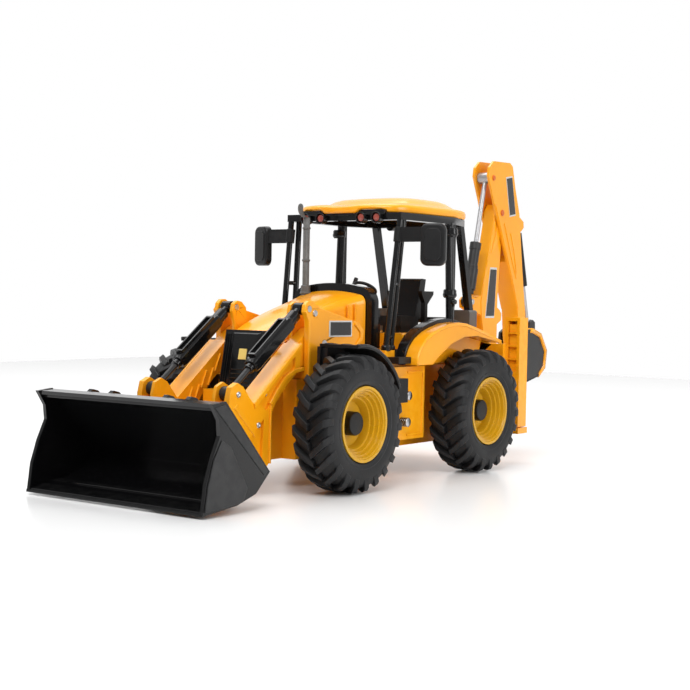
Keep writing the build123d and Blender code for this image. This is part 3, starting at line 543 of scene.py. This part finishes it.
def tower_details(bm, s):
    """Front flange, rear tab rib and ear boss of one tower."""
    out = s * TOWER_X
    add_plate(bm, (out - s * 0.5, out + s * 0.9),
              [(-6.2, 57), (-6.7, 86), (-9.2, 90.5), (-8.0, 92.0), (-4.6, 87.0), (-4.2, 57)])
    add_plate(bm, (out - s * 0.5, out + s * 0.8),
              [(34.0, 84.9), (38, 84.2), (41.8, 80.8), (40.8, 75.6), (36.2, 73.2), (35.0, 73.4),
               (38.8, 77.0), (38.6, 80.0), (34.0, 83.6)])
    add_plate(bm, (out - s * 0.5, out + s * 0.6),
              [(14.6, 57), (24.2, 67.2), (34, 70.8), (33.6, 72.2), (23.4, 69.2), (12.8, 57)])


def tower_screws(bm, s):
    add_screw(bm, at(s * (TOWER_X + 0.1), -0.8, 89.8), (s, 0, 0), 1.7)


for side_name, sign in (("left", 1), ("right", -1)):
    piece(f"tower_edges_{side_name}", lambda bm: tower_details(bm, sign), "chassis", "body_yellow", bevel=0.3)
    piece(f"tower_screws_{side_name}", lambda bm: tower_screws(bm, sign), "chassis", "steel", bevel=0)


def grille_panel(bm):
    """Raised centre panel with folded sides, ribs and the plain square plate's frame."""
    def face(x, y0, z0, y1, z1, wide0, wide1):
        return [at(x - wide0, y0, z0), at(x + wide0, y0, z0), at(x + wide1, y1, z1), at(x - wide1, y1, z1)]
    add_prism(bm, face(0, -22.6, 51.0, -17.4, 79.6, 8.6, 9.6), face(0, -24.3, 51.6, -19.1, 78.6, 6.8, 7.8))
    for s in (1, -1):
        for k in range(3):
            x = s * (10.6 + 1.5 * k)
            add_prism(bm, face(x, -22.4, 52.0, -17.5, 79.0, 0.35, 0.35),
                      face(x, -23.4, 52.4, -18.5, 78.6, 0.2, 0.2))
    for k in range(4):
        z = 53.5 + 2.2 * k
        y = -24.2 + (z - 51.6) * 0.192
        add_box(bm, (-6.2, 6.2), (y - 0.45, y + 0.4), (z, z + 0.8))


piece("grille_panel", grille_panel, "chassis", "black_gloss", bevel=0.25)


def emblem(bm):
    tilt = 0.192
    add_prism(bm,
              [at(x, -24.3 + (z - 51.6) * tilt, z) for x,
               z in ((-2.6, 65.4), (2.6, 65.4), (2.6, 71), (-2.6, 71))],
              [at(x, -24.8 + (z - 51.6) * tilt, z) for x,
               z in ((-2.4, 65.6), (2.4, 65.6), (2.4, 70.8), (-2.4, 70.8))])


piece("grille_plain_badge", emblem, "chassis", "body_yellow", "emblem", bevel=0.1)


def hood_trim(bm):
    """Two shallow side creases and the front lip of the hood."""
    for s in (1, -1):
        add_prism(bm,
                  [at(s * 15.2, -15.6, 72.4), at(s * 17.0, 25, 86.4), at(s * 17.0, 25, 85.0),
                   at(s * 15.2, -15.6, 71.4)],
                  [at(s * 15.8, -15.6, 72.0), at(s * 17.9, 25, 86.0), at(s * 17.9, 25, 85.4),
                   at(s * 15.8, -15.6, 71.8)])
        for y in (41.5, 46.5):
            k = (y - 25) / 29
            x = 17.3 + 6.2 * k
            add_prism(bm, [at(s * (x - 0.3), y - 0.7, 72), at(s * (x - 0.3), y + 0.7, 72),
                           at(s * (x + 0.2), y + 0.7, 93 + 3 * k), at(s * (x + 0.2), y - 0.7, 93 + 3 * k)],
                      [at(s * (x + 0.8), y - 0.3, 72), at(s * (x + 0.8), y + 0.3, 72),
                       at(s * (x + 0.6), y + 0.3, 92 + 3 * k), at(s * (x + 0.6), y - 0.3, 92 + 3 * k)])
    lip = [(15.7, 71.5), (15.7, 73.8), (14.4, 77.3), (10.8, 79.1), (0, 80.9)]
    under = [(0, 79.4), (10.2, 77.7), (13.2, 76.3), (14.5, 73.6), (14.5, 71.5)]
    arch = lip + [(-x, z) for x, z in reversed(lip[:-1])]
    arch += [(-x, z) for x, z in reversed(under[1:])] + under
    add_cross(bm, (-17.6, -15.4), arch)


piece("hood_creases", hood_trim, "chassis", "body_yellow", bevel=0.25)


# ---- roof ----
def smooth_ring(corners, rounds=3, count=160):
    """Closed outline with cut corners, resampled evenly."""
    points = [Vector((x, y, 0)) for x, y in corners]
    for _ in range(rounds):
        points = [p.lerp(q, t) for p, q in zip(points, points[1:] + points[:1]) for t in (0.25, 0.75)]
    lengths = [(q - p).length for p, q in zip(points, points[1:] + points[:1])]
    total, ring, travelled, index = sum(lengths), [], 0.0, 0
    for k in range(count):
        target = total * k / count
        while travelled + lengths[index] < target:
            travelled += lengths[index]
            index += 1
        ring.append(points[index].lerp(points[(index + 1) % len(points)],
                                       (target - travelled) / lengths[index]))
    return ring


ROOF_OUTLINE = [(28, 60), (38.6, 79), (39.2, 128), (32, 142.5), (-32, 142.5), (-39.2, 128), (-38.6, 79),
                (-28, 60)]
# share of the width, height, front and rear ends
ROOF_RINGS = [(0.93, 147.0, 63, 139.5), (0.945, 145.4, 62.2, 140.5), (1.0, 145.2, 60, 142.5),
              (1.012, 146.2, 59.5, 143), (1.012, 148.2, 59.5, 143), (1.0, 149.4, 60, 142.4),
              (0.965, 150.2, 61.5, 141), (0.92, 150.6, 64.5, 139), (0.87, 150.9, 78, 136.5),
              (0.82, 152.2, 81, 134), (0.76, 153.8, 84, 131.5), (0.68, 155.0, 88, 128.5),
              (0.56, 155.7, 93, 125), (0.38, 156.1, 99, 120), (0.18, 156.2, 104, 114)]


def roof_shell(bm):
    """Shell with a flat front and a crown behind it; its front lip arches up over the lamps."""
    ring = smooth_ring(ROOF_OUTLINE)
    low, high = min(p.y for p in ring), max(p.y for p in ring)
    loops = []
    for share, z, first, last in ROOF_RINGS:
        loop = []
        for p in ring:
            q = Vector((p.x * share, first + (p.y - low) / (high - low) * (last - first), 0))
            lift = 0.0
            front = max(0.0, min(1.0, (70 - q.y) / 5))
            if z < 148 and front > 0:
                across = abs(q.x)
                inside = max(0.0, min(1.0, (across - 11) / 2.5)) * max(0.0, min(1.0, (29 - across) / 2.5))
                lift = 1.9 * inside * front
            elif z > 149 and q.y < 84:
                fade = max(0.0, min(1.0, (84 - q.y) / 18))
                lift = -0.9 * (0.5 + 0.5 * cos(pi * min(abs(q.x) / 16, 1))) * fade
            loop.append(bm.verts.new(at(q.x, q.y, z + lift)))
        loops.append(loop)
    for a, b in zip(loops, loops[1:]):
        for i in range(len(a)):
            j = (i + 1) % len(a)
            bm.faces.new((a[i], a[j], b[j], b[i]))
    bm.faces.new(list(reversed(loops[0])))
    bm.faces.new(loops[-1])


roof = piece("roof_shell", roof_shell, "chassis", "body_yellow", bevel=0)
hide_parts("roof")


def lamp_cups(bm):
    """Dark bezels round the work lamps, front and rear."""
    for x in (-24.5, -14.0, 14.0, 24.5):
        add_lathe(bm, at(x, 62.4, 142.6), (0, -1, 0),
                  [(0.4, 0), (0.4, 2.4), (2.4, 2.6), (2.4, 3.3), (-1.5, 3.3), (-1.5, 0)], 28)
    add_box(bm, (-29, 29), (62.0, 66.5), (144.0, 147.0))
    for x in (-22.0, 22.0):
        add_lathe(bm, at(x, 143.6, 142.8), (0, 1, 0),
                  [(0.4, 0), (0.4, 2.3), (2.2, 2.5), (2.2, 3.1), (-1.5, 3.1), (-1.5, 0)], 28)


piece("lamp_bezels", lamp_cups, "chassis", "black_gloss", bevel=0.15)


def lamp_glass(bm):
    """Domed, ringed lenses."""
    for x in (-24.5, -14.0, 14.0, 24.5):
        add_lathe(bm, at(x, 62.0, 142.6), (0, -1, 0),
                  [(0, 0), (0, 2.3), (0.9, 2.2), (1.3, 1.8), (1.1, 1.5), (1.6, 1.1), (1.5, 0.8), (1.8, 0.3),
                   (1.8, 0)], 28)
    for x in (-22.0, 22.0):
        add_lathe(bm, at(x, 144.0, 142.8), (0, 1, 0),
                  [(0, 0), (0, 2.2), (0.9, 2.0), (1.3, 1.6), (1.1, 1.3), (1.5, 0.6), (1.5, 0)], 28)


lenses = piece("lamp_lenses", lamp_glass, "chassis", "lamp_lens", "lamp_red", bevel=0)
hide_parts("roof_lamps")


# ---- cab ----
def cab_tubes(bm):
    """Foot cups of the front pillars, pillar clamps with knobs and the sill plates."""
    for s in (1, -1):
        for x, y in ((36.3, 55.5), (34.0, 63.3)):
            add_lathe(bm, at(s * x, y, 69.6), (0, 0, 1),
                      [(0, 0), (0, 2.6), (2.4, 2.6), (3.2, 2.0), (3.2, 0)], 24)
        for z in (99.6, 134.6):
            add_lathe(bm, at(s * 39.9, 114, z), (0, 0, 1),
                      [(0, 0), (0, 3.8), (1.2, 4.1), (2.4, 3.8), (3.9, 3.8), (3.9, 0)], 28)
        add_rod(bm, at(s * 42.4, 114, 94.0), at(s * 42.4, 114, 98.8), 0.9)
        add_lathe(bm, at(s * 42.4, 114, 95.4), (0, 0, 1),
                  [(0, 0), (0, 1.6), (0.8, 2.1), (2.0, 2.1), (2.8, 1.6), (2.8, 0)], 20)
        add_plate(bm, (s * 36.8, s * 38.9),
                  [(61.5, 63.5), (61.5, 70.6), (84, 70.6), (98, 78.6), (98, 74.5), (86, 63.5)])


piece("cab_guard_tubes", cab_tubes, "chassis", "black_gloss", bevel=0.2)


def fender_trim(bm):
    """Black band between each rear fender and the cab."""
    top = [(64.8, 62.0), (65.2, 67.4), (68.2, 73.2), (73.4, 78.0), (80.6, 81.8), (88.8, 84.6), (98.0, 86.6),
           (107.8, 87.4), (118.0, 86.4), (126.4, 84.4)]
    under = [(126.6, 81.0), (118.0, 83.0), (107.8, 84.0), (98.4, 83.2), (90.0, 81.2), (82.4, 78.4),
             (75.8, 75.0), (71.0, 70.8), (68.4, 66.2), (68.0, 62.0)]
    for s in (1, -1):
        add_plate(bm, (s * 36.0, s * 42.4), top + under)


piece("fender_trim_bands", fender_trim, "chassis", "black_gloss", bevel=0.4)


def fender_lips(bm):
    """Rolled outer lip under each rear fender's edge."""
    line = [(66.8, 62.4), (66.9, 66.0), (69.8, 71.0), (74.6, 75.2), (81.6, 78.6), (89.2, 81.2), (98.0, 83.2),
            (107.8, 84.0), (117.0, 83.2), (126.0, 81.2), (141.4, 77.4), (156.6, 73.0)]
    for s in (1, -1):
        add_tube(bm, [at(s * 49.6, y, z) for y, z in line], 0.8, 12)


piece("fender_lips", fender_lips, "chassis", "body_yellow", bevel=0)


MIRROR = (59.4, 65.0, 127.5)
MIRROR_YAW = radians(19)


def mirror_slab(bm, s, depth, wide, high, corner):
    """Flat plate with cut corners, parallel to a mirror's face, between two depths."""
    outline = [(-wide, -high + corner), (-wide + corner, -high), (wide - corner, -high),
               (wide, -high + corner), (wide, high - corner), (wide - corner, high), (-wide + corner, high),
               (-wide, high - corner)]

    def spot(a, d, h):
        return at(s * (MIRROR[0] + a * cos(MIRROR_YAW) - d * sin(MIRROR_YAW)),
                  MIRROR[1] + a * sin(MIRROR_YAW) + d * cos(MIRROR_YAW), MIRROR[2] + h)
    add_prism(bm, [spot(a, depth[0], h) for a, h in outline], [spot(a, depth[1], h) for a, h in outline])


def mirror_backs(bm, s):
    """Raised back panel of a mirror and the clamp round the pillar tube."""
    add_lathe(bm, at(s * 37.7, 63.1, 129.0), (0, 0.127, 1), [(0, 0), (0, 2.6), (8.0, 2.6), (8.0, 0)], 24)
    mirror_slab(bm, s, (-2.4, -1.6), 4.6, 8.8, 2.0)


def mirror_face(bm, s):
    mirror_slab(bm, s, (1.7, 2.1), 5.6, 10.2, 2.2)


for side_name, sign in (("left", 1), ("right", -1)):
    piece(f"mirror_shell_{side_name}", lambda bm: mirror_backs(bm, sign), "chassis", "black_matte", bevel=0.6,
          segments=3)
    piece(f"mirror_face_{side_name}", lambda bm: mirror_face(bm, sign), "chassis", "steel", "mirror_face",
          bevel=0.1)


# ---- front mudguards ----
def guard_lip(bm, s):
    """Thin rolled lip round the outer edge of a front mudguard and two stiffening ribs."""
    radius = 39.4
    for x, r in ((59.6, 0.8), (49.5, 0.6), (39.2, 0.7)):
        points = []
        for k in range(19):
            angle = radians(94 - 68 * k / 18)
            points.append(at(s * x, radius * cos(angle), TYRE_R + radius * sin(angle)))
        add_tube(bm, points, r, 10)


for side_name, sign in (("left", 1), ("right", -1)):
    piece(f"mudguard_lip_{side_name}", lambda bm: guard_lip(bm, sign), f"knuckle_{side_name}",
          "black_gloss", bevel=0)


# ---- chassis sides ----
def side_recess(bm):
    """Threaded fittings between the wheels."""
    for s in (1, -1):
        for y, z in ((64.6, 45.4), (63.6, 31.0)):
            for k in range(4):
                add_lathe(bm, at(s * (42.6 + 1.1 * k), y, z), (s, 0, 0),
                          [(0, 0), (0, 2.2), (0.4, 2.6), (0.8, 2.2), (0.8, 0)], 20)


piece("side_fittings", side_recess, "chassis", "steel", bevel=0)


def side_panels(bm):
    for s in (1, -1):
        add_plate(bm, (s * 41.8, s * 42.5), [(68.5, 23), (84.5, 23), (84.5, 58.5), (68.5, 58.5), (68.5, 57.3),
                                             (83.3, 57.3), (83.3, 24.2), (68.5, 24.2)])


piece("skirt_frames", side_panels, "chassis", "body_yellow", bevel=0.2)


# ---- exhaust ----
def exhaust_parts(bm):
    """Foot flange and heat-shield bands of the pipe."""
    add_lathe(bm, at(-16, 50.9, 99.9), (0, 0, 1),
              [(0, 0), (0, 3.2), (0.8, 3.2), (1.2, 2.8), (4.4, 2.7), (4.8, 2.2), (4.8, 0)], 28)
    for z in (118.0, 136.0):
        add_lathe(bm, at(-16, 50.9, z), (0, 0, 1),
                  [(0, 0), (0, 2.1), (0.2, 2.3), (1.0, 2.3), (1.2, 2.1), (1.2, 0)], 28)


piece("exhaust_bands", exhaust_parts, "chassis", "mid_grey", bevel=0.1)


# ---- backhoe ----
BOOM_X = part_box("boom")[1].x / MM
DIPPER_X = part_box("dipper")[1].x / MM
for side_name, sign in (("left", 1), ("right", -1)):
    blank_label(f"boom_label_{side_name}", sign * BOOM_X,
                [(215.2, 86.6), (226.6, 86.6), (229.0, 119.6), (220.4, 119.6)], "boom_arm", border=0.4)
    blank_label(f"dipper_label_{side_name}", sign * DIPPER_X,
                [(240.6, 153.4), (248.6, 154.8), (242.6, 180.6), (234.6, 179.2)], "dipper_arm", border=0.4)


def boom_ribs(bm, s):
    """Edge flanges and the drop-shaped boss of the boom's side face."""
    x = (s * (BOOM_X - 0.3), s * (BOOM_X + 0.5))
    add_plate(bm, x,
              [(214.6, 56), (214.6, 68), (212.2, 80), (210.2, 88), (209.4, 97), (213.2, 112), (219.8, 132),
               (224.2, 150), (225.8, 150), (221.2, 131.6), (214.8, 111.6), (211.0, 97), (211.8, 88.4),
               (213.8, 80.4), (216.2, 68), (216.2, 56)])
    add_plate(bm, x,
              [(231.0, 138.4), (232.2, 147.6), (229.8, 148.8), (226.0, 140.0), (220.6, 128.4),
               (222.6, 129.2)])


def dipper_ribs(bm, s):
    """Raised border along the dipper's front edge and a long channel rib."""
    x = (s * (DIPPER_X - 0.3), s * (DIPPER_X + 0.5))
    add_plate(bm, x,
              [(221.6, 160), (228.6, 146.4), (238.0, 127.4), (246.6, 110.2), (254.6, 92.4), (256.0, 92.8),
               (248.0, 111.2), (239.4, 128.2), (230.0, 147.0), (223.0, 160.4)])
    add_plate(bm, x,
              [(233.6, 148.6), (244.6, 124.8), (251.2, 112.6), (252.2, 118.4), (247.6, 133.4),
               (243.0, 143.0), (242.2, 142.2), (246.4, 132.8), (250.6, 118.2), (250.4, 115.8),
               (245.6, 125.4), (234.6, 149.4)])


for side_name, sign in (("left", 1), ("right", -1)):
    piece(f"boom_edges_{side_name}", lambda bm: boom_ribs(bm, sign), "boom_arm", "body_yellow", bevel=0.2)
    piece(f"dipper_edges_{side_name}", lambda bm: dipper_ribs(bm, sign), "dipper_arm", "body_yellow",
          bevel=0.2)


def pin_heads(bm, spots):
    for x, y, z, r in spots:
        for s in (1, -1):
            add_lathe(bm, at(s * x, y, z), (s, 0, 0),
                      [(-0.5, 0), (-0.5, r), (0.5, r), (0.9, r * 0.7), (0.9, 0)], 24)


# the dipper pin heads wear the darker orange with painted shade, not a lit yellow
piece("dipper_pin_heads",
      lambda bm: pin_heads(bm,
                           [(DIPPER_X, 230.7, 155.5, 2.0), (DIPPER_X, 218.7, 177.5, 1.7),
                            (DIPPER_X, 262.0, 72.0, 2.6)]), "dipper_arm", "body_yellow", "painted_shade_orange",
      bevel=0.1)
piece("boom_pin_heads", lambda bm: pin_heads(bm, [(BOOM_X, 199, 97, 1.8)]), "boom_arm", "steel", bevel=0.1)
piece("kingpost_pin_heads", lambda bm: pin_heads(bm, [(8.3, 222, 56, 2.8), (8.3, 238, 28, 2.2)]),
      "swing_post", "steel", bevel=0.1)


def locker_bar(bm):
    """Black cover of the low bar between the rear lockers."""
    add_box(bm, (-22.3, 22.3), (149.1, 153.5), (83.7, 87.3))


piece("rear_low_bar", locker_bar, "chassis", "black_gloss", bevel=0.5)


def dipper_sleeves(bm):
    """Hollow collars round the dipper ram's barrel."""
    spot = along_ram((199, 97), (218.7, 177.5))
    axis = spot(0, 1, 0) - spot(0, 0, 0)
    bore = 2.8
    for first, last, radius in ((34.5, 39.2, 3.7), (8.0, 22.0, 4.1), (22.0, 24.0, 3.7)):
        reach = last - first
        add_lathe(bm, spot(0, first, 0), axis,
                  [(0, bore), (0, radius), (reach, radius), (reach, bore), (0, bore)], 28)


piece("dipper_ram_collars", dipper_sleeves, "dipper_barrel", "dark_grey", bevel=0.2)


def dipper_rod_sleeve(bm):
    """Grey sleeve on the ram's top pin."""
    add_lathe(bm, at(0, 218.7, 177.5), (1, 0, 0),
              [(-4.2, 2.4), (-4.2, 3.6), (4.2, 3.6), (4.2, 2.4), (-4.2, 2.4)], 32)


piece("dipper_rod_sleeve", dipper_rod_sleeve, "dipper_rod", "ram_silver", bevel=0.15)


def scoop_lips(bm):
    """Edge bead round the backhoe bucket's cheeks."""
    edge = [(257.4, 70), (258.4, 76.0), (262.2, 78.1), (268.0, 78.5), (279.6, 74.8), (288.2, 63.9),
            (286.2, 52.9), (277.8, 47.0), (263.3, 44.0)]
    for s in (1, -1):
        add_tube(bm, [at(s * 9.6, y, z) for y, z in edge], 0.7, 10)


piece("scoop_edge_beads", scoop_lips, "scoop", "dark_grey", bevel=0)


def scoop_back(bm):
    """Yellow curved back plate of the backhoe bucket."""
    outer = [(266.0, 79.8), (269.0, 79.7), (280.6, 76.0), (289.4, 64.2), (287.3, 52.1), (278.2, 46.0)]
    inner = [(279.0, 49.2), (284.6, 53.6), (286.2, 63.4), (278.8, 73.2), (268.4, 76.6), (265.6, 76.6)]
    add_plate(bm, (-10.6, 10.6), outer + inner)


piece("scoop_back_plate", scoop_back, "scoop", "body_yellow", bevel=0)


# ---- floor, light, camera ----
floor_mesh = bpy.data.meshes.new("studio_floor")
FLOOR = 1.05
floor_mesh.from_pydata([(-FLOOR, -FLOOR, 0), (FLOOR, -FLOOR, 0), (FLOOR, FLOOR, 0), (-FLOOR, FLOOR, 0)], [],
                       [(0, 1, 2, 3)])
floor = bpy.data.objects.new("studio_floor", floor_mesh)
bpy.context.scene.collection.objects.link(floor)
floor_mat = bpy.data.materials.new("pale_floor")
floor_mat.use_nodes = True
floor_shader = floor_mat.node_tree.nodes["Principled BSDF"]
floor_shader.inputs["Base Color"].default_value = (0.94, 0.94, 0.94, 1)
floor_shader.inputs["Roughness"].default_value = 0.22
floor_mesh.materials.append(floor_mat)

BACKDROP_DIRECTION = (-0.59, 0.81, 0)
ROOM_BRIGHTNESS, BACKDROP_BRIGHTNESS = 0.42, 1.0
world = bpy.data.worlds.new("studio")
world.use_nodes = True
world_nodes, world_links = world.node_tree.nodes, world.node_tree.links
world_nodes["Background"].inputs["Color"].default_value = (1, 1, 1, 1)
# a bright backdrop behind the toy and a dimmer room in front of it
direction = world_nodes.new("ShaderNodeTexCoord")
facing = world_nodes.new("ShaderNodeVectorMath")
facing.operation = "DOT_PRODUCT"
facing.inputs[1].default_value = BACKDROP_DIRECTION
fade = world_nodes.new("ShaderNodeMapRange")
fade.interpolation_type = "SMOOTHSTEP"
fade.inputs["From Min"].default_value = -0.1
fade.inputs["From Max"].default_value = 0.75
fade.inputs["To Min"].default_value = ROOM_BRIGHTNESS
fade.inputs["To Max"].default_value = BACKDROP_BRIGHTNESS
world_links.new(direction.outputs["Generated"], facing.inputs[0])
world_links.new(facing.outputs["Value"], fade.inputs["Value"])
world_links.new(fade.outputs["Result"], world_nodes["Background"].inputs["Strength"])
bpy.context.scene.world = world


def softbox(name, place, size, power, target=(0, 0, 0.07)):
    light = bpy.data.lights.new(name, "AREA")
    light.shape = "RECTANGLE"
    light.size, light.size_y = size
    light.energy = power
    lamp = bpy.data.objects.new(name, light)
    lamp.location = place
    lamp.rotation_euler = (Vector(target) - Vector(place)).to_track_quat("-Z", "Y").to_euler()
    bpy.context.scene.collection.objects.link(lamp)


softbox("key", (0.2, -0.7, 0.9), (0.8, 0.5), 8.0)
softbox("side", (1.1, 0.1, 0.5), (0.5, 0.7), 5.0)
softbox("top", (-0.3, 0.2, 1.1), (0.9, 0.9), 7.0)

AZIMUTH, ELEVATION, ROLL = 36.26, 1.99, 1.06
CAMERA_PLACE = (0.4583, -0.6449, 0.0983)
LENS, SENSOR = 71.58, 36.0
back = Vector((sin(radians(AZIMUTH)) * cos(radians(ELEVATION)),
               -cos(radians(AZIMUTH)) * cos(radians(ELEVATION)), sin(radians(ELEVATION))))
right = (-back).cross(Vector((0, 0, 1))).normalized()
up = right.cross(-back)
roll = radians(ROLL)
right, up = right * cos(roll) + up * sin(roll), up * cos(roll) - right * sin(roll)
camera_data = bpy.data.cameras.new("camera")
camera_data.lens = LENS
camera_data.sensor_width = SENSOR
camera_data.clip_start = 0.05
camera = bpy.data.objects.new("camera", camera_data)
camera.matrix_world = Matrix((right, up, back)).transposed().to_4x4()
camera.location = CAMERA_PLACE
bpy.context.scene.collection.objects.link(camera)
bpy.context.scene.camera = camera
bpy.context.scene.view_settings.view_transform = "Standard"
